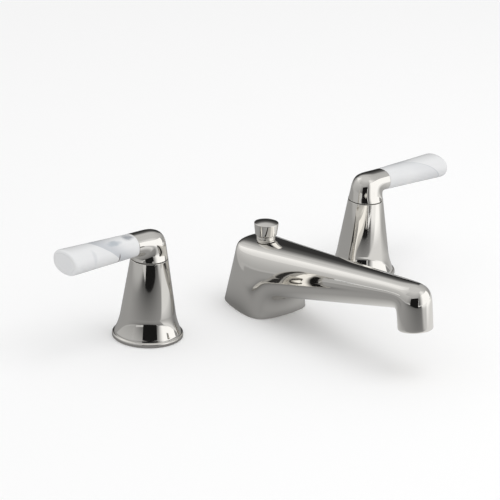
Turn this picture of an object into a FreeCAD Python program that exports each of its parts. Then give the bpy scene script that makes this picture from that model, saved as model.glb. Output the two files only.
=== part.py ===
import FreeCAD, Part
import math
import os
from FreeCAD import Vector

# Widespread bathroom faucet: two lever valves and a low spout with a lift knob.
# X runs along the line of holes, the spout points to -Y, and z = 0 is the top of the deck.

# Driving sizes in millimetres and degrees.
hole_spacing = 101.6
deck_thickness = 24.0
foot_gap = 0.3
gasket_thickness = 1.5
thread_wall = 2.4

# bell-shaped escutcheon
flange_radius = 24.5
flange_rim = 1.5
lip_radius = 1.3
flare_start_radius = 22.9
flare_start_height = 4.0
cone_height = 18.0
cone_radius = 18.8
seam_height = 57.0
seam_radius = 12.8
seam_gap = 0.5
bell_wall = 2.2
bell_ring_height = 7.0
bell_gasket_inset = 1.6
flare_bulge = 0.12

# valve
shank_radius = 13.0
shank_top = 20.0
shank_bottom = -44.0
chamber_radius = 9.6
chamber_floor = -4.0
tee_radius = 16.0
tee_bottom = -72.0
side_height = -58.0
side_reach = 30.0
side_radius = 8.3
side_collar_reach = 19.0
side_collar_radius = 10.5
inlet_radius = 10.4
inlet_bottom = -88.0
inlet_bore_top = -70.0
port_offset = 4.4
port_radius = 2.6
seal_thickness = 2.0
disc_radius = 8.4
disc_thickness = 3.0
slot_width = 3.0
slot_length = 12.0
slot_depth = 1.2
pocket_depth = 1.2
spindle_radius = 4.5
spindle_drop = 2.2
carrier_thickness = 3.0
flat_distance = 3.6
flat_start = 42.0
running_gap = 0.05
cartridge_flange_radius = 11.6
cartridge_flange = 2.5
cartridge_neck_radius = 7.4
cartridge_neck_top = 34.0
bonnet_radius = 14.8
bonnet_bottom = 8.0
bonnet_roof = 3.5
bonnet_hex_flats = 24.0
bonnet_hex_height = 6.0
bonnet_neck_radius = 11.0
top_nut_radius = 17.6
top_nut_thickness = 3.5
washer_radius = 19.0
washer_thickness = 2.0
lock_nut_flats = 36.0
lock_nut_height = 8.0

# lever and grip
arm_rise = 12.2
arm_height = seam_height + arm_rise
arm_half_width = 9.2
arm_half_height = 7.5
elbow_outer = 15.0
elbow_inner = 3.0
elbow_straight_share = 0.176
elbow_turn_share = 0.658
elbow_shares = (0.0, 0.2, 0.45, 0.75, 1.0)
ferrule_step = 3.0
ferrule_reach = 15.8
grip_reach = 72.2
grip_steps = 3
tip_half_width = 12.7
tip_half_height = 8.3
tip_rounding = 2.4
oval_power = 2.3
stud_radius = 3.0
stud_start = 6.0
stud_end = 44.0
screw_radius = 2.5
screw_rise = 4.2
screw_outer = 10.4
key_flats = 2.5
key_depth = 2.6

# spout body
foot_front = -30.7
foot_rear = 24.5
foot_half_width = 29.5
foot_rear_half_width = 18.9
foot_power = 3.3
foot_straight = 1.0
flank_half_width = 26.0
flank_rear_half_width = 24.4
flank_power = 3.1
flank_rear_power = 2.5
shoulder_half_width = 26.0
shoulder_power = 3.8
dome_half_width = 20.2
dome_power = 3.9
rear_draft = 15.5
dome_reach = 3.9
crown_height = 49.9
crown_rise = 5.4
underside_height = 14.9
underside_rise = 14.3
hollow_drop = 13.1
hollow_reach = 16.2
arm_start_half_width = 23.2
arm_start_crown_half_width = 22.8
arm_start_power = 2.7
arm_start_crown_power = 2.4
arm_end_half_width = 11.0
crown_power = 2.3
underside_power = 3.0
outlet_reach = 156.0
outlet_height = 32.35
outlet_radius = 12.0
outlet_tilt = 8.3
brow_reach = 22.3
brow_drop = 16.0
throat_reach = 2.0
outlet_rounding = 1.2

# spout inside and below the deck
spout_shank_radius = 15.0
spout_shank_y = -2.5
spout_shank_top = 16.0
spout_shank_bottom = -50.0
spout_gasket_inset = 2.0
spout_washer_radius = 22.0
spout_nut_flats = 40.0
tube_radius = 4.0
tube_wall = 0.8
tube_x = 7.5
tube_y = 0.5
tube_top = 30.0
tube_bottom = -92.0
tube_bend_top = -52.0
tube_bend_radius = 16.0
tube_bend_turn = 60.0
union_flats = 19.0
union_hex_height = 7.0
union_thread = 14.0
union_radius = 8.3
waterway_radius = 3.4
aerator_radius = 9.8
aerator_length = 11.0
aerator_recess = 1.0
aerator_bore = 8.2
aerator_lip_bore = 7.2
aerator_lip = 2.0
insert_thickness = 3.0
insert_hole_radius = 1.1
insert_hole_circle = 4.6
insert_hole_count = 8
aerator_washer = 1.5

# lift knob and rod
rod_radius = 2.38
rod_end_radius = 2.2
rod_end_length = 20.0
rod_y = -4.8
rod_bottom = -76.0
bush_radius = 4.2
bush_flange_radius = 6.7
bush_flange = 2.7
bush_seat = 48.9
bush_length = 7.0
rod_hole_radius = 2.9
knob_base_radius = 7.4
knob_top_radius = 8.6
knob_side_height = 10.2
knob_dome = 0.8
knob_edge = 0.5
knob_socket = 6.0

# control points round a bent body; swell makes a ring of them draw a true circle
ring_points = 16
swell = 3 / (2 + math.cos(2 * math.pi / ring_points))


def cylinder(radius, low, high, x=0.0, y=0.0):
    return Part.makeCylinder(radius, high - low, Vector(x, y, low))


def ring(outer, inner, low, high, x=0.0, y=0.0):
    return cylinder(outer, low, high, x, y).cut(cylinder(inner, low - 1, high + 1, x, y))


def hexagon(flats, low, high, x=0.0, y=0.0):
    corner = flats / 2 / math.cos(math.pi / 6)
    points = []
    for i in range(7):
        turn = math.radians(60 * i)
        points.append(Vector(x + corner * math.cos(turn), y + corner * math.sin(turn), low))
    return Part.Face(Part.makePolygon(points)).extrude(Vector(0, 0, high - low))


def turned(edges):
    wire = Part.Wire(edges)
    return Part.Face(wire).revolve(Vector(0, 0, 0), Vector(0, 0, 1), 360)


def polygon_edges(points):
    corners = [Vector(r, 0, z) for r, z in points]
    return [Part.makeLine(a, b) for a, b in zip(corners, corners[1:])]


def turned_polygon(points):
    return turned(polygon_edges(points + points[:1]))


# Bent bodies: rings of control points, paired along an inner and an outer profile line.
def crossing(p, d, q, e):
    scale = ((q[0] - p[0]) * e[1] - (q[1] - p[1]) * e[0]) / (d[0] * e[1] - d[1] * e[0])
    return (p[0] + d[0] * scale, p[1] + d[1] * scale)


def along(point, way, length):
    return (point[0] + way[0] * length, point[1] + way[1] * length)


def between(a, b, share):
    return (mix(a[0], b[0], share), mix(a[1], b[1], share))


def heading(degrees):
    return (math.cos(math.radians(degrees)), math.sin(math.radians(degrees)))


def mix(a, b, share):
    return a + (b - a) * share


def power_of(value, power):
    if abs(value) < 1e-9:
        return 0.0
    return math.copysign(abs(value) ** (2 / power), value)


def control_ring(inner, outer, widths, powers, place):
    points = []
    for i in range(ring_points):
        turn = 2 * math.pi * i / ring_points
        s = math.sin(turn)
        power = powers[1] if s > 0 else powers[0]
        share = (1 + power_of(s, power)) / 2
        across = power_of(math.cos(turn), power) * mix(widths[0], widths[1], share)
        points.append(place(across, between(inner, outer, share)))
    return points


def bent_body(rings):
    count = len(rings)
    surface = Part.BSplineSurface()
    surface.buildFromPolesMultsKnots(
        rings,
        [4] + [1] * (count - 4) + [4],
        [1] * (ring_points + 1),
        list(range(count - 2)),
        list(range(ring_points + 1)),
        False, True, 3, 3,
    )
    side = surface.toShape()
    last = surface.bounds()[1]
    caps = [Part.Face(Part.Wire(surface.uIso(u).toShape())) for u in (0, last)]
    shell = Part.Shell([side] + caps)
    shell.sewShape()
    body = Part.Solid(shell)
    if body.Volume < 0:
        body.reverse()
    return body


# Bell-shaped escutcheon: spun shell that screws on the bonnet and hides the valve.
def cone_at(z):
    slope = (cone_radius - seam_radius) / (seam_height - cone_height)
    return cone_radius - slope * (z - cone_height)


def bell():
    top = seam_height - seam_gap
    rim = flange_rim + foot_gap
    a = Vector(flange_radius, 0, rim)
    lip = heading(45)
    b = Vector(flange_radius - lip_radius * (1 - lip[0]), 0, rim + lip_radius * lip[1])
    c = Vector(flange_radius - lip_radius, 0, rim + lip_radius)
    d = Vector(flare_start_radius, 0, flare_start_height)
    waist = Vector(cone_radius, 0, cone_height)
    half = (flare_start_height + cone_height) / 2
    middle = Vector(mix(cone_at(half), flare_start_radius, flare_bulge), 0, half)
    outside = [
        Part.makeLine(Vector(flange_radius, 0, foot_gap), a),
        Part.Arc(a, b, c).toShape(),
        Part.makeLine(c, d),
        Part.Arc(d, middle, waist).toShape(),
        Part.makeLine(waist, Vector(cone_at(top), 0, top)),
    ]
    gasket_edge = flange_radius - bell_gasket_inset
    ring_low = top - bell_ring_height
    inside = polygon_edges([
        (cone_at(top), top),
        (bonnet_neck_radius, top),
        (bonnet_neck_radius, ring_low),
        (cone_at(ring_low) - bell_wall, ring_low),
        (cone_at(gasket_thickness) - bell_wall, gasket_thickness),
        (gasket_edge, gasket_thickness),
        (gasket_edge, foot_gap),
        (flange_radius, foot_gap),
    ])
    return turned(outside + inside)


def bell_gasket():
    inner = cone_at(gasket_thickness) - bell_wall
    return ring(flange_radius - bell_gasket_inset, inner, 0, gasket_thickness)


# Valve body: one brass casting with a threaded shank, a rear outlet and an inlet below the deck.
def valve_body():
    body = cylinder(shank_radius, shank_bottom, shank_top)
    body = body.fuse(cylinder(tee_radius, tee_bottom, shank_bottom))
    body = body.fuse(cylinder(inlet_radius, inlet_bottom, tee_bottom))
    side_start = Vector(0, 0, side_height)
    rearward = Vector(0, 1, 0)
    side = Part.makeCylinder(side_radius, side_reach, side_start, rearward)
    collar = Part.makeCylinder(side_collar_radius, side_collar_reach, side_start, rearward)
    body = body.fuse(side).fuse(collar)
    body = body.cut(cylinder(chamber_radius, chamber_floor, shank_top + 1))
    for y in (-port_offset, port_offset):
        low = side_height if y > 0 else tee_bottom
        body = body.cut(cylinder(port_radius, low, chamber_floor + 1, 0, y))
    bore = side_radius - thread_wall
    drill = Part.makeCylinder(bore, side_reach, Vector(0, port_offset, side_height), rearward)
    body = body.cut(drill)
    return body.cut(cylinder(inlet_radius - thread_wall, inlet_bottom - 1, inlet_bore_top))


def two_ports(shape, low, high):
    for y in (-port_offset, port_offset):
        shape = shape.cut(cylinder(port_radius, low - 1, high + 1, 0, y))
    return shape


def port_seal():
    low = chamber_floor
    return two_ports(cylinder(chamber_radius, low, low + seal_thickness), low, low + seal_thickness)


def fixed_disc():
    low = chamber_floor + seal_thickness
    return two_ports(cylinder(disc_radius, low, low + disc_thickness), low, low + disc_thickness)


def tongue(low, gap):
    length = slot_length - 2 * gap
    width = slot_width - 2 * gap
    return Part.makeBox(width, length, slot_depth, Vector(-width / 2, -length / 2, low))


def moving_disc():
    low = chamber_floor + seal_thickness + disc_thickness
    high = low + disc_thickness
    disc = cylinder(disc_radius, low, high)
    bridge_corner = Vector(-port_offset, -port_radius, low)
    disc = disc.cut(Part.makeBox(2 * port_offset, 2 * port_radius, pocket_depth, bridge_corner))
    for x in (-port_offset, port_offset):
        disc = disc.cut(cylinder(port_radius, low, low + pocket_depth, x))
    return disc.cut(tongue(high - slot_depth, 0))


def cartridge():
    low = chamber_floor + seal_thickness
    roof = low + 2 * disc_thickness + carrier_thickness + running_gap
    wide = disc_radius + running_gap
    shaft = spindle_radius + running_gap
    flange_top = shank_top + cartridge_flange
    return turned_polygon([
        (wide, low), (chamber_radius, low), (chamber_radius, shank_top),
        (cartridge_flange_radius, shank_top), (cartridge_flange_radius, flange_top),
        (cartridge_neck_radius, flange_top), (cartridge_neck_radius, cartridge_neck_top),
        (shaft, cartridge_neck_top), (shaft, roof), (wide, roof),
    ])


def bonnet():
    seat = shank_top + cartridge_flange
    roof = seat + bonnet_roof
    top = seam_height - seam_gap
    hole = cartridge_neck_radius
    body = cylinder(bonnet_radius, bonnet_bottom, roof)
    body = body.fuse(hexagon(bonnet_hex_flats, roof, roof + bonnet_hex_height))
    body = body.fuse(cylinder(bonnet_neck_radius, roof, top))
    body = body.cut(cylinder(shank_radius, bonnet_bottom - 1, seat))
    return body.cut(cylinder(hole, seat - 1, top + 1))


def spindle():
    low = chamber_floor + seal_thickness + 2 * disc_thickness
    body = cylinder(disc_radius, low, low + carrier_thickness)
    top = arm_height - spindle_drop
    body = body.fuse(cylinder(spindle_radius, low, top))
    body = body.fuse(tongue(low - slot_depth, running_gap))
    width = 2 * spindle_radius
    shave = Part.makeBox(width, width, top - flat_start, Vector(-width / 2, flat_distance, flat_start))
    return body.cut(shave)


def top_nut():
    return ring(top_nut_radius, shank_radius, 0, top_nut_thickness)


def deck_washer():
    return ring(washer_radius, shank_radius, -deck_thickness - washer_thickness, -deck_thickness)


def lock_nut():
    high = -deck_thickness - washer_thickness
    nut = hexagon(lock_nut_flats, high - lock_nut_height, high)
    return nut.cut(cylinder(shank_radius, high - lock_nut_height - 1, high + 1))


# Lever: one casting, a round neck that bends into a flat oval arm.
def lever_place(across, flat):
    return Vector(flat[0], across, flat[1])


def arm_ring(x, width, half):
    low = (x, arm_height - half * swell)
    high = (x, arm_height + half * swell)
    return control_ring(low, high, (width * swell, width * swell), (oval_power, oval_power), lever_place)


def lever_rings():
    lean = math.degrees(math.atan((cone_radius - seam_radius) / (seam_height - cone_height)))
    back = (-seam_radius * swell, seam_height)
    front = (seam_radius * swell, seam_height)
    rise = heading(90 - lean)
    fall = heading(90 + lean)
    forward = (1.0, 0.0)
    top = crossing(back, rise, (0, arm_height + arm_half_height * swell), forward)
    under = crossing(front, fall, (0, arm_height - arm_half_height * swell), forward)
    elbow_foot = along(top, rise, -elbow_outer)
    outer = [back, between(back, elbow_foot, 0.5), elbow_foot, top]
    drop = math.dist(front, under)
    straight_end = along(front, fall, elbow_straight_share * drop)
    inner = [front, straight_end, along(under, fall, -elbow_turn_share * drop), under]
    outer.append(along(top, forward, elbow_outer))
    inner.append(along(under, forward, elbow_inner))
    rings = []
    for share, a, b in zip(elbow_shares, inner, outer):
        width = mix(seam_radius, arm_half_width, share) * swell
        power = mix(2.0, oval_power, share)
        rings.append(control_ring(a, b, (width, width), (power, power), lever_place))
    for x in (ferrule_reach - ferrule_step, ferrule_reach):
        rings.append(arm_ring(x, arm_half_width, arm_half_height))
    return rings


def lever():
    body = bent_body(lever_rings())
    body = body.cut(cylinder(spindle_radius, seam_height - 1, arm_height - spindle_drop))
    screw_seat = Vector(0, flat_distance, seam_height + screw_rise)
    screw_hole = Part.makeCylinder(screw_radius, seam_radius, screw_seat, Vector(0, 1, 0))
    return body.cut(screw_hole).cut(grip_stud())


def set_screw():
    length = screw_outer - flat_distance
    height = seam_height + screw_rise
    body = Part.makeCylinder(screw_radius, length, Vector(0, flat_distance, height), Vector(0, 1, 0))
    key = hexagon(key_flats, 0, key_depth + 1)
    key.rotate(Vector(0, 0, 0), Vector(1, 0, 0), -90)
    key.translate(Vector(0, screw_outer - key_depth, height))
    return body.cut(key)


def grip_stud():
    return Part.makeCylinder(stud_radius, stud_end - stud_start, Vector(stud_start, 0, arm_height), Vector(1, 0, 0))


def grip():
    rings = []
    tip_share = 1 - tip_rounding / (grip_reach - ferrule_reach)
    for share in [i / grip_steps for i in range(grip_steps)] + [tip_share, 1.0]:
        x = mix(ferrule_reach, grip_reach, share)
        half = mix(arm_half_height, tip_half_height, share)
        width = mix(arm_half_width, tip_half_width, share)
        rings.append(arm_ring(x, width, half))
    rings.append(arm_ring(grip_reach, tip_half_width - tip_rounding, tip_half_height - tip_rounding))
    body = bent_body(rings)
    return body.cut(grip_stud())


# Spout body: one brass casting, a foot that bends into a tapering arm and a round outlet.
def spout_place(across, flat):
    return Vector(across, flat[0], flat[1])


def outlet_frame():
    down = heading(270 - outlet_tilt)
    centre = (-outlet_reach, outlet_height)
    return centre, down


def spout_rings():
    centre, down = outlet_frame()
    forward = (down[1], -down[0])
    wide = outlet_radius * swell
    nose = along(centre, forward, wide)
    heel = along(centre, forward, -wide)
    rear = (foot_rear, foot_gap)
    front = (foot_front, foot_gap)
    wall_way = heading(90 + rear_draft)
    crown_way = heading(180 - crown_rise)
    under_way = heading(180 - underside_rise)
    up = (0.0, 1.0)
    dome = crossing(rear, wall_way, (0, crown_height), crown_way)
    brow = crossing(dome, crown_way, nose, down)
    hollow = crossing(front, up, (foot_front, underside_height), under_way)
    throat = crossing(hollow, under_way, heel, down)
    dome_foot = along(dome, wall_way, -dome_reach)
    hollow_foot = along(hollow, up, -hollow_drop)
    stations = [
        (0, front, rear),
        (0.5, along(front, up, foot_straight), between(rear, dome_foot, 0.5)),
        (1, hollow_foot, dome_foot),
        (1.6, hollow, dome),
        (2, along(hollow, under_way, hollow_reach), along(dome, crown_way, dome_reach)),
        (2.4, between(hollow, throat, 0.42), between(dome, brow, 0.36)),
        (2.75, between(hollow, throat, 0.72), between(dome, brow, 0.68)),
        (3, along(throat, under_way, -throat_reach), along(brow, crown_way, -brow_reach)),
        (3.5, throat, brow),
        (4, along(throat, down, throat_reach), along(brow, down, brow_drop)),
        (4.6, along(heel, down, -outlet_rounding), along(nose, down, -outlet_rounding)),
        (5, heel, nose),
    ]
    shapes = [
        (0, foot_half_width, foot_rear_half_width, foot_power, foot_power),
        (1, flank_half_width, flank_rear_half_width, flank_power, flank_rear_power),
        (1.6, shoulder_half_width, dome_half_width, shoulder_power, dome_power),
        (2, arm_start_half_width, arm_start_crown_half_width, arm_start_power, arm_start_crown_power),
        (3, arm_end_half_width, arm_end_half_width, underside_power, crown_power),
        (4, wide, wide, 2, 2),
        (5, wide, wide, 2, 2),
    ]
    rings = []
    for stage, inner, outer in stations:
        k = max(i for i in range(len(shapes) - 1) if shapes[i][0] <= stage)
        before, after = shapes[k], shapes[k + 1]
        part = (stage - before[0]) / (after[0] - before[0])
        shape = [mix(a, b, part) for a, b in zip(before[1:], after[1:])]
        rings.append(control_ring(inner, outer, shape[:2], shape[2:], spout_place))
    share = outlet_rounding / wide
    inset = [between(heel, nose, share / 2), between(heel, nose, 1 - share / 2)]
    small = wide - outlet_rounding
    rings.append(control_ring(inset[0], inset[1], (small, small), (2, 2), spout_place))
    return rings


def outlet_cylinder(radius, low, high):
    centre, down = outlet_frame()
    base = Vector(0, centre[0] - down[0] * low, centre[1] - down[1] * low)
    return Part.makeCylinder(radius, high - low, base, Vector(0, -down[0], -down[1]))


def foot_plate(inset, low, high):
    widths = (foot_half_width - inset, foot_rear_half_width - inset)
    front = (foot_front + inset, low)
    rear = (foot_rear - inset, low)
    points = control_ring(front, rear, widths, (foot_power, foot_power), spout_place)
    curve = Part.BSplineCurve()
    count = ring_points + 1
    curve.buildFromPolesMultsKnots(points, [1] * count, list(range(count)), True, 3)
    return Part.Face(Part.Wire(curve.toShape())).extrude(Vector(0, 0, high - low))


def spout_body():
    body = bent_body(spout_rings())
    centre, down = outlet_frame()
    body = body.cut(foot_plate(spout_gasket_inset, 0, gasket_thickness))
    body = body.cut(cylinder(spout_shank_radius, 0, spout_shank_top, 0, spout_shank_y))
    body = body.cut(cylinder(tube_radius, spout_shank_top - 1, tube_top, tube_x, tube_y))
    body = body.cut(cylinder(rod_hole_radius, spout_shank_top - 1, bush_seat, 0, rod_y))
    body = body.cut(cylinder(bush_radius, bush_seat - bush_length, bush_seat + 5, 0, rod_y))
    body = body.cut(cylinder(bush_flange_radius, bush_seat, bush_seat + 8, 0, rod_y))
    thread_top = aerator_recess + aerator_length + aerator_washer
    body = body.cut(outlet_cylinder(aerator_radius, -1, thread_top))
    body = body.cut(outlet_cylinder(aerator_lip_bore, 0, thread_top + 2))
    goal = Vector(0, centre[0] - down[0] * (thread_top + 1), centre[1] - down[1] * (thread_top + 1))
    start = Vector(tube_x, tube_y, tube_top - waterway_radius)
    waterway = Part.makeCylinder(waterway_radius, (goal - start).Length, start, goal - start)
    return body.cut(waterway)


def spout_gasket():
    plate = foot_plate(spout_gasket_inset, 0, gasket_thickness)
    return plate.cut(cylinder(spout_shank_radius, -1, gasket_thickness + 1, 0, spout_shank_y))


def spout_shank():
    inner = spout_shank_radius - thread_wall
    return ring(spout_shank_radius, inner, spout_shank_bottom, spout_shank_top, 0, spout_shank_y)


def spout_washer():
    low = -deck_thickness - washer_thickness
    return ring(spout_washer_radius, spout_shank_radius, low, -deck_thickness, 0, spout_shank_y)


def spout_nut():
    high = -deck_thickness - washer_thickness
    low = high - lock_nut_height
    nut = hexagon(spout_nut_flats, low, high, 0, spout_shank_y)
    return nut.cut(cylinder(spout_shank_radius, low - 1, high + 1, 0, spout_shank_y))


# Water tube: below the shank it bends aside in an S, clear of the lift rod.
def tube_end_x():
    return tube_x + 2 * tube_bend_radius * (1 - math.cos(math.radians(tube_bend_turn)))


def bent_pipe(radius):
    bend_bottom = tube_bend_top - 2 * tube_bend_radius * math.sin(math.radians(tube_bend_turn))
    pipe = cylinder(radius, tube_bend_top, tube_top, tube_x, tube_y)
    pipe = pipe.fuse(cylinder(radius, tube_bottom, bend_bottom, tube_end_x(), tube_y))
    bends = (
        (tube_x, tube_bend_top, tube_bend_radius),
        (tube_end_x(), bend_bottom, -tube_bend_radius),
    )
    for x, z, reach in bends:
        disc = Part.Face(Part.Wire(Part.makeCircle(radius, Vector(x, tube_y, z))))
        centre = Vector(x + reach, tube_y, z)
        pipe = pipe.fuse(disc.revolve(centre, Vector(0, -1, 0), tube_bend_turn))
    return pipe


def water_tube():
    return bent_pipe(tube_radius).cut(bent_pipe(tube_radius - tube_wall))


def tube_union():
    x = tube_end_x()
    high = tube_bottom + union_hex_height
    low = tube_bottom - union_thread
    body = hexagon(union_flats, tube_bottom, high, x, tube_y)
    body = body.fuse(cylinder(union_radius, low, tube_bottom, x, tube_y))
    body = body.cut(cylinder(tube_radius, tube_bottom, high + 1, x, tube_y))
    return body.cut(cylinder(tube_radius - tube_wall, low - 1, high, x, tube_y))


def aerator_housing():
    low = aerator_recess
    high = low + aerator_length
    body = outlet_cylinder(aerator_radius, low, high)
    body = body.cut(outlet_cylinder(aerator_lip_bore, low - 1, high + 1))
    return body.cut(outlet_cylinder(aerator_bore, low + aerator_lip, high + 1))


def aerator_insert():
    low = aerator_recess + aerator_lip
    centre, down = outlet_frame()
    body = outlet_cylinder(aerator_bore, low, low + insert_thickness)
    for i in range(insert_hole_count):
        turn = 2 * math.pi * i / insert_hole_count
        hole = outlet_cylinder(insert_hole_radius, low - 1, low + insert_thickness + 1)
        across = insert_hole_circle * math.cos(turn)
        depth = insert_hole_circle * math.sin(turn)
        hole.translate(Vector(across, depth * down[1], -depth * down[0]))
        body = body.cut(hole)
    return body


def aerator_seal():
    low = aerator_recess + aerator_length
    body = outlet_cylinder(aerator_radius, low, low + aerator_washer)
    return body.cut(outlet_cylinder(aerator_lip_bore, low - 1, low + aerator_washer + 1))


# Lift knob and rod: they slide together in a bush set in the crown of the spout.
def rod_bush():
    low = bush_seat - bush_length
    body = cylinder(bush_radius, low, bush_seat, 0, rod_y)
    body = body.fuse(cylinder(bush_flange_radius, bush_seat, bush_seat + bush_flange, 0, rod_y))
    return body.cut(cylinder(rod_radius + running_gap, low - 1, bush_seat + bush_flange + 1, 0, rod_y))


def lift_rod():
    high = bush_seat + bush_flange + knob_socket
    body = cylinder(rod_radius, rod_bottom + rod_end_length, high, 0, rod_y)
    return body.fuse(cylinder(rod_end_radius, rod_bottom, rod_bottom + rod_end_length, 0, rod_y))


def lift_knob():
    low = bush_seat + bush_flange
    high = low + knob_side_height
    body = Part.makeCone(knob_base_radius, knob_top_radius, high + knob_dome - low, Vector(0, 0, low))
    ball_radius = (knob_top_radius ** 2 + knob_dome ** 2) / (2 * knob_dome)
    ball = Part.makeSphere(ball_radius, Vector(0, 0, high + knob_dome - ball_radius))
    body = body.common(ball)
    edges = [e for e in body.Edges if e.BoundBox.XMax > knob_base_radius]
    rim = [e for e in edges if e.BoundBox.ZMin > mix(low, high, 0.5)]
    body = body.makeFillet(knob_edge, rim)
    body = body.cut(cylinder(rod_radius, low - 1, low + knob_socket))
    body.translate(Vector(0, rod_y, 0))
    return body


def save(name, shape):
    solid = shape.removeSplitter()
    if len(solid.Solids) == 1:
        solid = solid.Solids[0]
    solid.exportStep("parts/" + name + ".step")


os.makedirs("parts", exist_ok=True)
valve_pieces = {
    "escutcheon": bell,
    "escutcheon_gasket": bell_gasket,
    "valve_body": valve_body,
    "top_nut": top_nut,
    "deck_washer": deck_washer,
    "lock_nut": lock_nut,
    "port_seal": port_seal,
    "fixed_disc": fixed_disc,
    "moving_disc": moving_disc,
    "cartridge": cartridge,
    "bonnet": bonnet,
    "spindle": spindle,
    "lever": lever,
    "set_screw": set_screw,
    "grip_stud": grip_stud,
    "grip": grip,
}
for name, make in valve_pieces.items():
    right = make()
    left = right.mirror(Vector(0, 0, 0), Vector(1, 0, 0))
    right.translate(Vector(hole_spacing, 0, 0))
    left.translate(Vector(-hole_spacing, 0, 0))
    save("right_" + name, right)
    save("left_" + name, left)

spout_pieces = {
    "spout_body": spout_body,
    "spout_gasket": spout_gasket,
    "spout_shank": spout_shank,
    "spout_washer": spout_washer,
    "spout_nut": spout_nut,
    "water_tube": water_tube,
    "tube_union": tube_union,
    "aerator_housing": aerator_housing,
    "aerator_insert": aerator_insert,
    "aerator_seal": aerator_seal,
    "rod_bush": rod_bush,
    "lift_rod": lift_rod,
    "lift_knob": lift_knob,
}
for name, make in spout_pieces.items():
    save(name, make())
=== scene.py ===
import math

import bmesh
import bpy
import numpy as np
from mathutils import Matrix, Vector


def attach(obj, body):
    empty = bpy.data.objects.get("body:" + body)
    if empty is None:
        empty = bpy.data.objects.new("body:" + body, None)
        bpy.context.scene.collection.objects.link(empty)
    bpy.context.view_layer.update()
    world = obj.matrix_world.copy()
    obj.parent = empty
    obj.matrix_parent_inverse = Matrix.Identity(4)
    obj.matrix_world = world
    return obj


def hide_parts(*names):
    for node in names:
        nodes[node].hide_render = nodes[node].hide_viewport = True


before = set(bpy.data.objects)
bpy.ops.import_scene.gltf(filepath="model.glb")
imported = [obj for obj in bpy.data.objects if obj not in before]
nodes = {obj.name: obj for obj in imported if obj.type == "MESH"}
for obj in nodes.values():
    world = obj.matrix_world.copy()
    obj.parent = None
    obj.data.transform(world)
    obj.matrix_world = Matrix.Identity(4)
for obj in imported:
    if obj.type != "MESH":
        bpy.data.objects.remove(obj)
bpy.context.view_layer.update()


# Valve bodies: sand-cast brass with machined threads. Each hangs under the deck
# on its threaded shank, with an inlet below and an outlet at the rear. The threads
# are rolled ridges on the free lengths, clear of the nuts.
hands = (("left", -1), ("right", 1))
hole_spacing = 101.6


def grain_group():
    """Fine pits and slow blotches that every cast or moulded finish here has."""
    tree = bpy.data.node_groups.new("grain", "ShaderNodeTree")
    face = tree.interface
    face.new_socket("Size", in_out="INPUT", socket_type="NodeSocketFloat").default_value = 400.0
    face.new_socket("Blotch size", in_out="INPUT", socket_type="NodeSocketFloat").default_value = 40.0
    face.new_socket("Pits", in_out="OUTPUT", socket_type="NodeSocketFloat")
    face.new_socket("Blotches", in_out="OUTPUT", socket_type="NodeSocketFloat")
    start = tree.nodes.new("NodeGroupInput")
    end = tree.nodes.new("NodeGroupOutput")
    where = tree.nodes.new("ShaderNodeTexCoord")
    for size, out, detail in (("Size", "Pits", 3.0), ("Blotch size", "Blotches", 2.0)):
        noise = tree.nodes.new("ShaderNodeTexNoise")
        noise.inputs["Detail"].default_value = detail
        tree.links.new(where.outputs["Object"], noise.inputs["Vector"])
        tree.links.new(start.outputs[size], noise.inputs["Scale"])
        tree.links.new(noise.outputs["Fac"], end.inputs[out])
    return tree


grain = grain_group()


def finish(name, low, high, metallic, rough, pits, depth, size=400.0, blotch=40.0):
    """A finish whose colour, sheen and height all wander a little over the surface."""
    material = bpy.data.materials.new(name)
    material.use_nodes = True
    tree = material.node_tree
    shader = tree.nodes["Principled BSDF"]
    shader.inputs["Metallic"].default_value = metallic
    group = tree.nodes.new("ShaderNodeGroup")
    group.node_tree = grain
    group.inputs["Size"].default_value = size
    group.inputs["Blotch size"].default_value = blotch
    colour = tree.nodes.new("ShaderNodeMix")
    colour.data_type = "RGBA"
    colour.inputs["A"].default_value = (*low, 1)
    colour.inputs["B"].default_value = (*high, 1)
    tree.links.new(group.outputs["Blotches"], colour.inputs["Factor"])
    tree.links.new(colour.outputs["Result"], shader.inputs["Base Color"])
    sheen = tree.nodes.new("ShaderNodeMapRange")
    sheen.inputs["To Min"].default_value = rough[0]
    sheen.inputs["To Max"].default_value = rough[1]
    tree.links.new(group.outputs["Blotches"], sheen.inputs["Value"])
    tree.links.new(sheen.outputs["Result"], shader.inputs["Roughness"])
    bump = tree.nodes.new("ShaderNodeBump")
    bump.inputs["Strength"].default_value = pits
    bump.inputs["Distance"].default_value = depth
    tree.links.new(group.outputs["Pits"], bump.inputs["Height"])
    tree.links.new(bump.outputs["Normal"], shader.inputs["Normal"])
    return material


def dress(material, *names):
    """Gives the named solids their finish."""
    for name in names:
        nodes[name].data.materials.clear()
        nodes[name].data.materials.append(material)


def joined(tree, kind, *sources, **settings):
    """A node with its settings, each input fed by a socket or given a plain value."""
    node = tree.nodes.new(kind)
    for label, value in settings.items():
        setattr(node, label, value)
    for socket, source in zip(node.inputs, sources):
        if source is None:
            continue
        if isinstance(source, bpy.types.NodeSocket):
            tree.links.new(source, socket)
        else:
            socket.default_value = source
    return node.outputs[0]


def worked(tree, operation, *values):
    """A math node fed with sockets or plain numbers."""
    return joined(tree, "ShaderNodeMath", *values, operation=operation)


def shape_tree(name, inputs):
    """A tree that puts out one piece, with its named inputs."""
    tree = bpy.data.node_groups.new(name, "GeometryNodeTree")
    for label, kind in inputs:
        tree.interface.new_socket(label, in_out="INPUT", socket_type="NodeSocket" + kind)
    tree.interface.new_socket("Piece", in_out="OUTPUT", socket_type="NodeSocketGeometry")
    return tree, tree.nodes.new("NodeGroupInput").outputs


def ends_in(tree, geometry, finish_socket):
    """Closes a tree with real geometry in its finish."""
    real = joined(tree, "GeometryNodeRealizeInstances", geometry)
    dressed = joined(tree, "GeometryNodeSetMaterial", real, True, finish_socket)
    tree.links.new(dressed, tree.nodes.new("NodeGroupOutput").inputs["Piece"])


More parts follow.
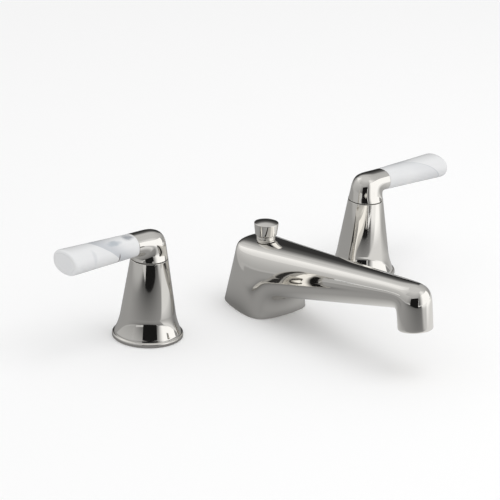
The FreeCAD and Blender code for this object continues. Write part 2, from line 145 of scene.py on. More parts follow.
def screw_thread():
    """A ridge with a V profile that climbs round a rod and runs out at both its ends."""
    tree, given = shape_tree("screw_thread", (
        ("Radius", "Float"), ("Length", "Float"), ("Pitch", "Float"), ("Height", "Float"),
        ("Steps per turn", "Int"), ("Start", "Vector"), ("Turned", "Vector"), ("Finish", "Material")))
    flank_share, first_size = 0.46, 0.08
    turns = worked(tree, "DIVIDE", given["Length"], given["Pitch"])
    helix = joined(
        tree, "GeometryNodeCurveSpiral",
        given["Steps per turn"], turns, given["Radius"], given["Radius"], given["Length"])
    helix = joined(tree, "GeometryNodeSetCurveNormal", helix, mode="Z_UP")
    flank = worked(tree, "MULTIPLY", given["Pitch"], flank_share)
    size = joined(tree, "ShaderNodeCombineXYZ", given["Height"], flank, 1.0)
    profile = joined(tree, "GeometryNodeCurvePrimitiveCircle", 4, None, None, None, 1.0, mode="RADIUS")
    profile = joined(tree, "GeometryNodeTransform", profile, None, None, size)
    along = joined(tree, "GeometryNodeSplineParameter")
    end = worked(tree, "MINIMUM", along, worked(tree, "SUBTRACT", 1.0, along))
    runout = worked(tree, "MULTIPLY_ADD", end, turns, first_size)
    runout = worked(tree, "MINIMUM", runout, 1.0)
    ridge = joined(tree, "GeometryNodeCurveToMesh", helix, profile, runout, True)
    ridge = joined(tree, "GeometryNodeTransform", ridge, given["Start"], given["Turned"])
    ends_in(tree, ridge, given["Finish"])
    return tree


def grown(name, tree, sizes, start=None):
    """Lets a tree shape a piece, keeps the plain mesh and takes the modifier off."""
    piece = bpy.data.objects.new(name, start or bpy.data.meshes.new(name + "_start"))
    bpy.context.scene.collection.objects.link(piece)
    maker = piece.modifiers.new("maker", "NODES")
    maker.node_group = tree
    for item in tree.interface.items_tree:
        if item.in_out == "INPUT" and item.name in sizes:
            maker[item.identifier] = sizes[item.name]
    seen = piece.evaluated_get(bpy.context.evaluated_depsgraph_get())
    mesh = bpy.data.meshes.new_from_object(seen)
    piece.modifiers.remove(maker)
    while mesh.materials[0] is None:
        mesh.materials.pop(index=0)
    start = piece.data
    piece.data = mesh
    bpy.data.meshes.remove(start)
    mesh.name = name
    return piece


cut_thread = screw_thread()


def threaded(name, radius, low, high, pitch, root, turned=(0.0, 0.0, 0.0)):
    """A turned brass thread from low to high along a line through root, in millimetres."""
    height_share = 0.24
    line = Matrix.Rotation(turned[0], 3, "X") @ Vector((0, 0, low))
    sizes = {
        "Radius": radius * 0.001, "Length": (high - low) * 0.001,
        "Pitch": pitch * 0.001, "Height": pitch * height_share * 0.001,
        "Steps per turn": 48, "Start": Vector(root) * 0.001 + line * 0.001,
        "Turned": turned, "Finish": turned_brass,
    }
    thread = grown(name, cut_thread, sizes)
    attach(thread, "deck_set")


raw_brass = finish("raw_brass", (0.55, 0.40, 0.17), (0.72, 0.55, 0.27), 1.0, (0.28, 0.42), 0.5, 0.0002)
turned_brass = finish("turned_brass", (0.62, 0.47, 0.2), (0.75, 0.59, 0.3), 1.0, (0.18, 0.26), 0.2, 0.0001, 900.0)
shank_radius, shank_pitch = 13.0, 1.5
inlet_radius, inlet_pitch = 10.4, 1.81
hose_radius, hose_pitch, outlet_level = 8.3, 1.34, -58.0
to_the_rear = (-math.pi / 2, 0.0, 0.0)
above_nut, in_deck, below_nut = (3.9, 7.6), (-23.6, -0.4), (-43.5, -34.4)
inlet_length, outlet_length = (-87.6, -72.5), (19.5, 29.6)
for side, way in hands:
    dress(raw_brass, side + "_valve_body")
    axis = (way * hole_spacing, 0.0, 0.0)
    for part, length in (("bonnet", above_nut), ("deck", in_deck), ("shank", below_nut)):
        threaded(side + "_" + part + "_thread", shank_radius, *length, shank_pitch, axis)
    threaded(side + "_inlet_thread", inlet_radius, *inlet_length, inlet_pitch, axis)
    branch = (way * hole_spacing, 0.0, outlet_level)
    threaded(side + "_outlet_thread", hose_radius, *outlet_length, hose_pitch, branch, to_the_rear)


# Cartridges, spindles and bonnets: turned brass, screwed into the valve bodies.
# Two lapped ceramic discs on a rubber seal open and close the water.
lapped_ceramic = finish("lapped_ceramic", (0.82, 0.82, 0.79), (0.88, 0.88, 0.86), 0.0, (0.15, 0.22), 0.1, 0.00005)
black_rubber = finish("black_rubber", (0.018, 0.018, 0.018), (0.032, 0.031, 0.03), 0.0, (0.5, 0.7), 0.3, 0.0001)
for side, way in hands:
    dress(turned_brass, side + "_cartridge", side + "_bonnet", side + "_spindle")
    dress(lapped_ceramic, side + "_fixed_disc", side + "_moving_disc")
    dress(black_rubber, side + "_port_seal")


# Nuts and washers that clamp the three groups to the deck: cast brass nuts
# over pressed steel washers, one set on each threaded shank.
pressed_steel = finish("pressed_steel", (0.5, 0.5, 0.51), (0.62, 0.62, 0.62), 1.0, (0.25, 0.38), 0.2, 0.0001)
for side, way in hands:
    dress(raw_brass, side + "_top_nut", side + "_lock_nut")
    dress(pressed_steel, side + "_deck_washer")
dress(raw_brass, "spout_nut", "spout_shank", "tube_union")
dress(pressed_steel, "spout_washer")
spout_shank_radius, spout_shank_pitch, spout_shank_axis = 15.0, 2.0, (0.0, -2.5, 0.0)
union_axis, union_length = (23.5, 0.5, 0.0), (-105.6, -92.4)
for part, length in (("deck", in_deck), ("shank", (-49.5, below_nut[1]))):
    threaded("spout_" + part + "_thread", spout_shank_radius, *length, spout_shank_pitch, spout_shank_axis)
threaded("union_thread", hose_radius, *union_length, hose_pitch, union_axis)


# Escutcheons: bells spun from brass and plated with polished nickel. Each screws
# down over its valve on a thin gasket and carries the seam under the lever.
# The nickel is a warm mirror with faint wipe marks and almost no relief.
polished_nickel = finish(
    "polished_nickel", (0.875, 0.854, 0.81), (0.905, 0.884, 0.845), 1.0, (0.02, 0.05),
    0.015, 0.00002, 60.0, 18.0)


def rounded(points, steps=6):
    """A closed outline whose corners (radius, height, rounding) are turned to small arcs."""
    out = []
    count = len(points)
    for i, (r, z, radius) in enumerate(points):
        here = np.array((r, z))
        back = np.array(points[i - 1][:2]) - here
        ahead = np.array(points[(i + 1) % count][:2]) - here
        if radius == 0:
            out.append(tuple(here))
            continue
        back /= np.linalg.norm(back)
        ahead /= np.linalg.norm(ahead)
        half = math.acos(max(-1, min(1, back @ ahead))) / 2
        reach = radius / math.tan(half)
        middle = (back + ahead) / np.linalg.norm(back + ahead)
        centre = here + middle * radius / math.sin(half)
        a = here + back * reach - centre
        b = here + ahead * reach - centre
        sweep = math.pi - 2 * half
        for k in range(steps + 1):
            share = k / steps
            spoke = (a * math.sin((1 - share) * sweep) + b * math.sin(share * sweep)) / math.sin(sweep)
            out.append(tuple(centre + spoke))
    return out


def skin(name, grid, material):
    """A mesh over a grid of points in millimetres, wrapped round in its second direction."""
    rows, around = grid.shape[:2]
    faces = []
    for i in range(rows - 1):
        here, ahead = i * around, (i + 1) * around
        for k in range(around):
            m = (k + 1) % around
            faces.append((here + k, here + m, ahead + m, ahead + k))
    mesh = bpy.data.meshes.new(name)
    mesh.from_pydata((grid.reshape(-1, 3) * 0.001).tolist(), [], faces)
    mesh.materials.append(material)
    faired(mesh)
    piece = bpy.data.objects.new(name, mesh)
    bpy.context.scene.collection.objects.link(piece)
    return piece


def faired(mesh):
    """Closes the seams, turns every face outwards and smooths all but the sharp edges."""
    work = bmesh.new()
    work.from_mesh(mesh)
    bmesh.ops.remove_doubles(work, verts=work.verts, dist=1e-7)
    bmesh.ops.recalc_face_normals(work, faces=work.faces)
    for face in work.faces:
        face.smooth = True
    for edge in work.edges:
        edge.smooth = len(edge.link_faces) < 2 or edge.calc_face_angle() < math.radians(32)
    work.to_mesh(mesh)
    work.free()


def filled(outline, step=2.0, brace=0.08):
    """The outline with more points on its long straight stretches, so that they mirror straight."""
    out = []
    for a, b in zip(outline, outline[1:] + outline[:1]):
        a, b = np.array(a), np.array(b)
        length = np.linalg.norm(b - a)
        shares = {0.0}
        if length > 1.0:
            shares |= {brace / length, 1 - brace / length, *np.linspace(0, 1, int(length / step) + 2)[1:-1]}
        out += [tuple(a + (b - a) * share) for share in sorted(shares)]
    return out


def turned_piece():
    """Turns an outline, points at (radius, 0, height), about the upright line through Centre."""
    tree, given = shape_tree("turned_piece", (
        ("Outline", "Geometry"), ("Wrapped", "Int"), ("Steps round", "Int"),
        ("Centre", "Vector"), ("Finish", "Material")))
    whole = "FunctionNodeIntegerMath"
    count = joined(tree, "GeometryNodeAttributeDomainSize", given["Outline"])
    rows = joined(tree, whole, count, given["Wrapped"], operation="ADD")
    columns = joined(tree, whole, given["Steps round"], 1, operation="ADD")
    sheet = joined(tree, "GeometryNodeMeshGrid", 1.0, 1.0, rows, columns)
    index = joined(tree, "GeometryNodeInputIndex")
    row = joined(tree, whole, index, columns, operation="DIVIDE_FLOOR")
    row = joined(tree, whole, row, count, operation="MODULO")
    column = joined(tree, whole, index, columns, operation="MODULO")
    place = joined(tree, "GeometryNodeInputPosition")
    corner = tree.nodes.new("GeometryNodeSampleIndex")
    corner.data_type = "FLOAT_VECTOR"
    for source, socket in ((given["Outline"], "Geometry"), (place, "Value"), (row, "Index")):
        tree.links.new(source, corner.inputs[socket])
    split = tree.nodes.new("ShaderNodeSeparateXYZ")
    tree.links.new(corner.outputs["Value"], split.inputs["Vector"])
    share = worked(tree, "DIVIDE", column, given["Steps round"])
    turn = worked(tree, "MULTIPLY", share, 2 * math.pi)
    x, y = (worked(tree, "MULTIPLY", split.outputs["X"], worked(tree, part, turn)) for part in ("COSINE", "SINE"))
    spot = joined(tree, "ShaderNodeCombineXYZ", x, y, split.outputs["Z"])
    spot = joined(tree, "ShaderNodeVectorMath", spot, given["Centre"], operation="ADD")
    sheet = joined(tree, "GeometryNodeSetPosition", sheet, True, spot)
    sheet = joined(tree, "GeometryNodeMergeByDistance", sheet, True, 1e-7)
    ends_in(tree, sheet, given["Finish"])
    return tree


turned = turned_piece()


def lathe(name, outline, material, x=0.0, y=0.0, around=160):
    """Turns an outline of (radius, height) points, closed or from pole to pole, in millimetres."""
    closed = outline[0][0] > 0
    points = filled(outline)
    if not closed:
        points = [outline[0]] + [p for p in points if p[0] > 0] + [outline[-1]]
    start = bpy.data.meshes.new(name + "_outline")
    start.from_pydata([(r * 0.001, 0, z * 0.001) for r, z in points], [(i, i + 1) for i in range(len(points) - 1)], [])
    sizes = {"Wrapped": int(closed), "Steps round": around, "Centre": Vector((x, y, 0)) * 0.001, "Finish": material}
    piece = grown(name, turned, sizes, start)
    faired(piece.data)
    return piece


def stand_for(piece, node, body):
    """Puts a finished piece in its solid's stead, on the solid's body."""
    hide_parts(node)
    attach(piece, body)


seam_height, seam_radius = 57.0, 12.8
cone_height, cone_radius = 18.0, 18.8
cone_slope = (cone_radius - seam_radius) / (seam_height - cone_height)
seam_gap, bell_seat, bell_hollow = 0.5, 0.3, 1.5
bell_wall, bell_bore, bell_land = 2.2, 11.0, 7.0
flange_radius, flange_inner, flange_top = 24.5, 22.9, 3.1
flare_foot, flare_middle, flare_sag = 4.0, 11.0, 0.12


def bell_outline():
    """Flange with a rolled rim, a hollow flare, then a straight cone up to the seam."""
    top = seam_height - seam_gap
    flare = []
    half_way = cone_radius + cone_slope * (cone_height - flare_middle)
    half_way += (flange_inner - half_way) * flare_sag
    levels = ((flange_inner, flare_foot), (half_way, flare_middle), (cone_radius, cone_height))
    a, b, c = (np.array(p) for p in levels)
    ab, bc = (a + b) / 2, (b + c) / 2
    across = np.array([[*(b - a)], [*(c - b)]])
    centre = np.linalg.solve(across, [(b - a) @ ab, (c - b) @ bc])
    first = math.atan2(*(a - centre)[::-1]) % (2 * math.pi)
    last = math.atan2(*(c - centre)[::-1]) % (2 * math.pi)
    for k in range(25):
        turn = first + (last - first) * k / 24
        flare.append((*(centre + np.linalg.norm(a - centre) * np.array((math.cos(turn), math.sin(turn)))), 0))
    land = top - bell_land
    land_radius = seam_radius + cone_slope * (seam_gap + bell_land) - bell_wall
    foot_radius = cone_radius + cone_slope * (cone_height - bell_hollow) - bell_wall
    corners = [(flange_inner, bell_seat, 0.1), (flange_radius, bell_seat, 0.35)]
    corners += [(flange_radius, flange_top, 1.25), (flange_inner + 0.1, flange_top, 0.25)] + flare
    corners += [(seam_radius + cone_slope * seam_gap, top, 0.35), (bell_bore, top, 0.2), (bell_bore, land, 0.1)]
    corners += [(land_radius, land, 0.1), (foot_radius, bell_hollow, 0.1), (flange_inner, bell_hollow, 0.1)]
    return rounded(corners)


for side, way in hands:
    bell = lathe(side + "_bell", bell_outline(), polished_nickel, way * hole_spacing)
    stand_for(bell, side + "_escutcheon", "deck_set")
    dress(black_rubber, side + "_escutcheon_gasket")


# Levers: one brass casting each, a round neck that bends into a flat oval arm,
# plated like the bells and held on the spindle by a set screw at the back.
ring_points = 16
swell = 3 / (2 + math.cos(2 * math.pi / ring_points))


def heading(degrees):
    """The direction at an angle in the side view."""
    return np.array((math.cos(math.radians(degrees)), math.sin(math.radians(degrees))))


def crossing(p, d, q, e):
    """Where the line from p along d meets the line from q along e."""
    return p + d * np.linalg.solve(np.array([d, -e]).T, q - p)[0]


def curved(value, power):
    """Bends a sine or cosine so that an oval gets squarer with its power."""
    return 0.0 if abs(value) < 1e-9 else math.copysign(abs(value) ** (2 / power), value)


def section(inner, outer, widths, powers):
    """Sixteen control points, as (across, along, up), between two lines of the side view."""
    points = []
    for i in range(ring_points):
        turn = 2 * math.pi * i / ring_points
        power = powers[1] if math.sin(turn) > 1e-9 else powers[0]
        share = (1 + curved(math.sin(turn), power)) / 2
        across = curved(math.cos(turn), power) * (widths[0] + (widths[1] - widths[0]) * share)
        points.append((across, *(inner + (outer - inner) * share)))
    return np.array(points)


def spline_skin(rings, along, around):
    """Points on the smooth skin that hangs on the control rings, cubic both ways."""
    rings = np.array(rings)
    count = len(rings)
    knots = np.array([0] * 3 + list(range(count - 2)) + [count - 3] * 3, float)
    rows = []
    for t in np.linspace(0, count - 3, along):
        t = min(t, count - 3 - 1e-9)
        base = np.array([1.0 if knots[i] <= t < knots[i + 1] else 0.0 for i in range(len(knots) - 1)])
        for degree in range(1, 4):
            new = np.zeros(len(base) - 1)
            for i in range(len(new)):
                left = knots[i + degree] - knots[i]
                right = knots[i + degree + 1] - knots[i + 1]
                if left > 0:
                    new[i] += (t - knots[i]) / left * base[i]
                if right > 0:
                    new[i] += (knots[i + degree + 1] - t) / right * base[i + 1]
            base = new
        rows.append(np.tensordot(base, rings, (0, 0)))
    rows = np.array(rows)
    out = np.zeros((along, around, 3))
    for k in range(around):
        place_on_ring = k / around * ring_points
        i = int(place_on_ring)
        f = place_on_ring - i
        weights = ((1 - f) ** 3, 3 * f ** 3 - 6 * f * f + 4, -3 * f ** 3 + 3 * f * f + 3 * f + 1, f ** 3)
        out[:, k] = sum(w / 6 * rows[:, (i + s - 1) % ring_points] for s, w in enumerate(weights))
    return out


arm_height, arm_half_width, arm_half_height = 69.2, 9.2, 7.5
ferrule_reach, grip_reach = 15.8, 72.2
oval_power = 2.3


def arm_section(x, width, half):
    """An oval ring across the straight part of lever and grip."""
    low = np.array((x, arm_height - half * swell))
    high = np.array((x, arm_height + half * swell))
    return section(low, high, (width * swell, width * swell), (oval_power, oval_power))


def lever_sections():
    """Rings from the round seam over the elbow to the grip's oval."""
    elbow_outer, elbow_inner, straight = 15.0, 3.0, 0.8
    lean = math.degrees(math.atan(cone_slope))
    back = np.array((-seam_radius * swell, seam_height))
    front = np.array((seam_radius * swell, seam_height))
    rise, fall, forward = heading(90 - lean), heading(90 + lean), np.array((1.0, 0.0))
    top = crossing(back, rise, np.array((0, arm_height + arm_half_height * swell)), forward)
    under = crossing(front, fall, np.array((0, arm_height - arm_half_height * swell)), forward)
    foot = top - rise * elbow_outer
    outer = [back, (back + foot) / 2, foot, top, top + forward * elbow_outer]
    inner = [front, front + fall * straight, under - fall * elbow_inner, under, under + forward * elbow_inner]
    rings = []
    for share, a, b in zip((0.0, 0.2, 0.45, 0.75, 1.0), inner, outer):
        width = (seam_radius + (arm_half_width - seam_radius) * share) * swell
        power = 2.0 + (oval_power - 2.0) * share
        rings.append(section(a, b, (width, width), (power, power)))
    for x in (ferrule_reach - 3.0, ferrule_reach):
        rings.append(arm_section(x, arm_half_width, arm_half_height))
    return rings


def capped(grid, start=0.35, end=0.35):
    """Closes both ends of a skin with flat caps behind a small rounded edge."""
    rows = list(grid)
    for ring, near, radius, at_end in ((grid[0], grid[1], start, False), (grid[-1], grid[-2], end, True)):
        middle = ring.mean(0)
        way = ring - near
        normal = np.cross(ring[len(ring) // 4] - middle, ring[0] - middle)
        normal /= np.linalg.norm(normal)
        if normal @ way.mean(0) < 0:
            normal = -normal
        spokes = ring - middle
        unit = spokes / np.linalg.norm(spokes, axis=1)[:, None]
        arc = [
            ring - normal * radius * (1 - math.sin(a)) - unit * radius * (1 - math.cos(a))
            for a in np.linspace(0, math.pi / 2, 6)]
        flat = [middle + (arc[-1] - middle) * s for s in (0.8, 0.5, 0.2, 0.0)]
        new = arc + flat
        if at_end:
            rows = rows[:-1] + new
        else:
            rows = new[::-1] + rows[1:]
    return np.array(rows)


def lever_place(grid, way):
    """Side-view points (across, along, up) to the lever's own place on the deck."""
    return np.stack([way * (hole_spacing + grid[..., 1]), grid[..., 0], grid[..., 2]], -1)


for side, way in hands:
    shape = capped(spline_skin(lever_sections(), 90, 128))
    lever = skin(side + "_arm", lever_place(shape, way), polished_nickel)
    stand_for(lever, side + "_lever", side + "_handle")
    dress(pressed_steel, side + "_set_screw", side + "_grip_stud")


# Grips: oval bars of white marble, turned and polished, that widen towards the tip.
# Each is glued on a steel stud that is screwed into the lever's end.
def stone_point(tree):
    """Millimetres along the bar from the valve's axis, and across it on a slant."""
    place = tree.nodes.new("ShaderNodeTexCoord")
    parts = tree.nodes.new("ShaderNodeSeparateXYZ")
    tree.links.new(place.outputs["Object"], parts.inputs["Vector"])
    away = worked(tree, "ABSOLUTE", parts.outputs["X"])
    along = worked(tree, "MULTIPLY_ADD", away, 1000.0, -hole_spacing)
    rise = worked(tree, "MULTIPLY_ADD", parts.outputs["Z"], 800.0, -56.0)
    slant = worked(tree, "MULTIPLY_ADD", parts.outputs["Y"], 600.0, rise)
    return place.outputs["Object"], along, slant


def eased(tree, value, low, high):
    """A soft step that falls from one at the low value to nothing at the high one."""
    step = tree.nodes.new("ShaderNodeMapRange")
    step.interpolation_type = "SMOOTHSTEP"
    step.inputs["To Min"].default_value = 1.0
    step.inputs["To Max"].default_value = 0.0
    tree.links.new(value, step.inputs["Value"])
    for name, end in (("From Min", low), ("From Max", high)):
        if isinstance(end, (int, float)):
            step.inputs[name].default_value = end
        else:
            tree.links.new(end, step.inputs[name])
    return step.outputs["Result"]


def stone_group(name, inputs, outputs):
    """An empty shader group with number inputs and outputs."""
    group = bpy.data.node_groups.new(name, "ShaderNodeTree")
    for label, value in inputs:
        group.interface.new_socket(label, in_out="INPUT", socket_type="NodeSocketFloat").default_value = value
    for label in outputs:
        group.interface.new_socket(label, in_out="OUTPUT", socket_type="NodeSocketFloat")
    return group, group.nodes.new("NodeGroupInput").outputs, group.nodes.new("NodeGroupOutput").inputs


# a vein is a wavering sheet through the bar; the stone beyond it may have another tint
vein_inputs = (("Place", 40), ("Lean", 0), ("Bow", 0), ("Twist", 0), ("Width", 0.5), ("Waver", 1), ("Fade", 10))
vein, given, told = stone_group("vein", vein_inputs, ("Line", "Beyond"))
point, along, slant = stone_point(vein)
ripple = vein.nodes.new("ShaderNodeTexNoise")
ripple.inputs["Scale"].default_value = 160.0
ripple.inputs["Detail"].default_value = 4.0
vein.links.new(point, ripple.inputs["Vector"])
curve = worked(vein, "MULTIPLY_ADD", given["Twist"], slant, given["Bow"])
curve = worked(vein, "MULTIPLY_ADD", curve, slant, given["Lean"])
curve = worked(vein, "MULTIPLY_ADD", curve, slant, given["Place"])
drift = worked(vein, "SUBTRACT", ripple.outputs["Fac"], 0.5)
gap = worked(vein, "MULTIPLY_ADD", drift, given["Waver"], worked(vein, "SUBTRACT", along, curve))
near = eased(vein, worked(vein, "ABSOLUTE", gap), 0.0, given["Width"])
vein.links.new(near, told["Line"])
side = eased(vein, gap, -0.4, 0.4)
reach = worked(vein, "SUBTRACT", 0.0, gap)
vein.links.new(worked(vein, "MULTIPLY", side, eased(vein, reach, 0.0, given["Fade"])), told["Beyond"])

# a cloud is a soft patch with ragged edges
cloud_inputs = (("Along", 40), ("Slant", 0), ("Length", 5), ("Height", 3), ("Ragged", 0.6))
cloud, given, told = stone_group("cloud", cloud_inputs, ("Patch",))
point, along, slant = stone_point(cloud)
ripple = cloud.nodes.new("ShaderNodeTexNoise")
ripple.inputs["Scale"].default_value = 260.0
ripple.inputs["Detail"].default_value = 5.0
cloud.links.new(point, ripple.inputs["Vector"])
over = worked(cloud, "DIVIDE", worked(cloud, "SUBTRACT", along, given["Along"]), given["Length"])
above = worked(cloud, "DIVIDE", worked(cloud, "SUBTRACT", slant, given["Slant"]), given["Height"])
far = worked(cloud, "MULTIPLY_ADD", over, over, worked(cloud, "MULTIPLY", above, above))
far = worked(cloud, "SQRT", far)
far = worked(cloud, "MULTIPLY_ADD", worked(cloud, "SUBTRACT", ripple.outputs["Fac"], 0.5), given["Ragged"], far)
cloud.links.new(eased(cloud, far, 0.25, 1.0), told["Patch"])


def marble(name, marks):
    """Polished white stone with the named marks laid over one another."""
    material = finish(name, (0.76, 0.765, 0.775), (0.82, 0.825, 0.825), 0.0, (0.1, 0.18), 0.05, 0.00002, 300.0, 60.0)
    tree = material.node_tree
    base = tree.nodes["Principled BSDF"].inputs["Base Color"]
    for kind, output, amount, tint, values in marks:
        mark = tree.nodes.new("ShaderNodeGroup")
        mark.node_tree = kind
        for label, value in values.items():
            mark.inputs[label].default_value = value
        lay = tree.nodes.new("ShaderNodeMix")
        lay.data_type = "RGBA"
        lay.inputs["B"].default_value = (*tint, 1)
        tree.links.new(worked(tree, "MULTIPLY", mark.outputs[output], amount), lay.inputs["Factor"])
        tree.links.new(base.links[0].from_socket, lay.inputs["A"])
        tree.links.new(lay.outputs["Result"], base)
    return material


blue_grey, dark_grey, warm_grey = (0.5, 0.52, 0.555), (0.26, 0.28, 0.31), (0.13, 0.11, 0.11)
border = {"Place": 44.5, "Lean": 0.95, "Bow": -0.039, "Waver": 1.0}
arc = {"Place": 51.1, "Lean": -1.46, "Bow": -0.024, "Waver": 0.8}
marks_of = {
    "left": (
        (vein, "Beyond", 0.75, blue_grey, border | {"Fade": 20.0}),
        (vein, "Line", 0.4, blue_grey, border | {"Width": 0.6}),
        (cloud, "Patch", 0.8, (0.42, 0.46, 0.5), {"Along": 34.6, "Slant": 2.0, "Length": 7.5, "Height": 3.2}),
        (cloud, "Patch", 0.8, dark_grey, {"Along": 20.8, "Slant": 3.8, "Length": 5.8, "Height": 3.4, "Ragged": 1.2}),
        (cloud, "Patch", 0.95, warm_grey, {"Along": 33.4, "Slant": -8.4, "Length": 0.7, "Height": 3.4, "Ragged": 0.3}),
        (cloud, "Patch", 0.3, blue_grey, {"Along": 54.6, "Slant": -4.0, "Length": 2.2, "Height": 7.0}),
    ),
    "right": (
        (vein, "Beyond", 0.25, blue_grey, arc | {"Fade": 30.0}),
        (vein, "Line", 0.6, blue_grey, arc | {"Width": 0.8}),
        (cloud, "Patch", 0.3, blue_grey, {"Along": 36.0, "Slant": 8.0, "Length": 14.0, "Height": 3.0}),
    ),
}


def grip_sections():
    """Rings from the lever's end to the rounded tip."""
    steps, rounding = 3, 2.4
    tip_width, tip_height = 12.7, 8.3
    tip = 1 - rounding / (grip_reach - ferrule_reach)
    rings = []
    for share in [i / steps for i in range(steps)] + [tip, 1.0]:
        x = ferrule_reach + (grip_reach - ferrule_reach) * share
        width = arm_half_width + (tip_width - arm_half_width) * share
        half = arm_half_height + (tip_height - arm_half_height) * share
        rings.append(arm_section(x, width, half))
    rings.append(arm_section(grip_reach, tip_width - rounding, tip_height - rounding))
    return rings


for side, way in hands:
    stone = marble(side + "_marble", marks_of[side])
    shape = capped(spline_skin(grip_sections(), 90, 128), 0.25, 0.2)
    grip = skin(side + "_bar", lever_place(shape, way), stone)
    stand_for(grip, side + "_grip", side + "_handle")


# Spout: one brass casting plated like the bells. The D-shaped foot bends into
# an arm that rises, narrows and turns down into a round outlet.
outlet_tilt, outlet_reach, outlet_height, outlet_radius = 8.3, 156.0, 32.35, 12.0
outlet_down = heading(270 - outlet_tilt)
outlet_centre = np.array((-outlet_reach, outlet_height))
outlet_forward = np.array((outlet_down[1], -outlet_down[0]))
foot_rear, foot_front, foot_level = 24.5, -30.7, 0.3
wall_lean, crown_slope, under_slope = 15.5, 5.4, 14.3
crown_height, crease_height = 49.9, 14.9


def spout_sections():
    """Rings from the D-shaped foot over the shoulder and along the arm to the outlet."""
    wide, rounding = outlet_radius * swell, 1.2
    nose = outlet_centre + outlet_forward * wide
    heel = outlet_centre - outlet_forward * wide
    rear, front = np.array((foot_rear, foot_level)), np.array((foot_front, foot_level))
    wall_way, crown_way = heading(90 + wall_lean), heading(180 - crown_slope)
    under_way, up = heading(180 - under_slope), heading(90)
    dome = crossing(rear, wall_way, np.array((0, crown_height)), crown_way)
    brow = crossing(dome, crown_way, nose, outlet_down)
    hollow = crossing(front, up, np.array((foot_front, crease_height)), under_way)
    throat = crossing(hollow, under_way, heel, outlet_down)
    dome_foot = dome - wall_way * 3.9
    stations = [
        (0, front, rear),
        (0.5, front + up * 1.0, (rear + dome_foot) / 2),
        (1, hollow - up * 13.1, dome_foot),
        (1.6, hollow, dome),
        (2, hollow + under_way * 16.2, dome + crown_way * 3.9),
        (2.4, hollow + (throat - hollow) * 0.42, dome + (brow - dome) * 0.36),
        (2.75, hollow + (throat - hollow) * 0.72, dome + (brow - dome) * 0.68),
        (3, throat - under_way * 2.0, brow - crown_way * 22.3),
        (3.5, throat, brow),
        (4, throat + outlet_down * 2.0, brow + outlet_down * 16.0),
        (4.6, heel - outlet_down * rounding, nose - outlet_down * rounding),
        (5, heel, nose),
    ]
    marks = (0, 1, 1.6, 2, 3, 4, 5)
    low_width = (29.5, 26.0, 26.0, 23.2, 11.0, wide, wide)
    high_width = (18.9, 24.4, 20.2, 22.8, 11.0, wide, wide)
    low_power = (3.3, 3.1, 3.8, 2.7, 3.0, 2, 2)
    high_power = (3.3, 2.5, 3.9, 2.4, 2.3, 2, 2)
    rings = []
    for stage, inner, outer in stations:
        widths = [np.interp(stage, marks, t) for t in (low_width, high_width)]
        powers = [np.interp(stage, marks, t) for t in (low_power, high_power)]
        rings.append(section(inner, outer, widths, powers))
    share = rounding / wide / 2
    small = wide - rounding
    rings.append(section(heel + (nose - heel) * share, nose + (heel - nose) * share, (small, small), (2, 2)))
    return rings


def spout_grid():
    """The casting's skin, with the outlet's bore and the hollow of the foot closed in."""
    grid = spline_skin(spout_sections(), 220, 160)
    rows = list(grid)
    centre = np.array((0.0, *outlet_centre))
    axis = np.array((0.0, *outlet_down))
    spokes = grid[-1] - centre
    spokes -= np.outer(spokes @ axis, axis)
    unit = spokes / np.linalg.norm(spokes, axis=1)[:, None]
    bore = ((10.2, 0.0), (9.9, 0.05), (9.8, 0.3), (9.8, 7.0), (9.8, 13.5), (7.2, 13.6), (7.2, 20.0))
    for radius, depth in bore:
        rows.append(centre - axis * depth + unit * radius)
    rows.append(np.repeat((centre - axis * bore[-1][1])[None], len(unit), 0))
    ring = grid[0]
    middle = np.array((0.0, -4.7, foot_level))
    rim_share, recess_share, recess = 0.93, 0.925, (0, 0, 1.2)
    foot = [ring, middle + (ring - middle) * rim_share]
    foot += [middle + (ring - middle) * s + recess for s in (recess_share, 0.6, 0.3, 0.0)]
    return np.array(foot[::-1][:-1] + rows)


spout = skin("spout", spout_grid(), polished_nickel)
stand_for(spout, "spout_body", "deck_set")
dress(black_rubber, "spout_gasket")
copper = finish("copper", (0.62, 0.3, 0.19), (0.72, 0.38, 0.25), 1.0, (0.2, 0.32), 0.1, 0.0001)
dress(copper, "water_tube")


# Aerator: a turned housing screwed into the outlet, round a moulded insert
# with a ring of small holes, on a rubber washer.
white_plastic = finish("white_plastic", (0.72, 0.72, 0.7), (0.8, 0.8, 0.78), 0.0, (0.35, 0.5), 0.2, 0.0001)
dress(turned_brass, "aerator_housing")
dress(white_plastic, "aerator_insert")
dress(black_rubber, "aerator_seal")


# Lift knob, its rod and its bush: turned brass, the knob and bush plated like
# the rest. The bush is pressed in the crown, and knob and rod slide in it.
rod_y, bush_foot, bush_seat, bush_top = -4.8, 41.9, 48.9, 51.6
bush_bore, bush_shank, bush_collar = 2.45, 4.2, 6.7
bush_outline = rounded([
    (bush_bore, bush_foot, 0.1), (bush_shank, bush_foot, 0.2), (bush_shank, bush_seat, 0),
    (bush_collar, bush_seat, 0.1), (bush_collar, bush_top, 0.5), (bush_bore, bush_top, 0.2)])
bush = lathe("bush", bush_outline, polished_nickel, 0.0, rod_y, 96)
stand_for(bush, "rod_bush", "deck_set")
knob_top = bush_top + 10.5
knob_socket, knob_groove, knob_base, knob_rim = 2.4, 3.4, 7.7, 8.7
collar_top, groove_top = bush_top + 1.0, bush_top + 1.7
dome_rise, dome_fall, dome_radius = 0.95, 1.45, 8.6
dome = [
    (dome_radius * share, knob_top + dome_rise - dome_fall * share * share, 0)
    for share in (0.9, 0.8, 0.7, 0.6, 0.5, 0.4, 0.3, 0.2, 0.1)]
socket_outline = [(0, bush_top + 6.0, 0), (knob_socket, bush_top + 6.0, 0), (knob_socket, bush_top, 0)]
collar_outline = [(bush_collar, bush_top, 0.1), (bush_collar, collar_top, 0.1)]
groove_outline = [(knob_groove, collar_top, 0.1), (knob_groove, groove_top, 0.1)]
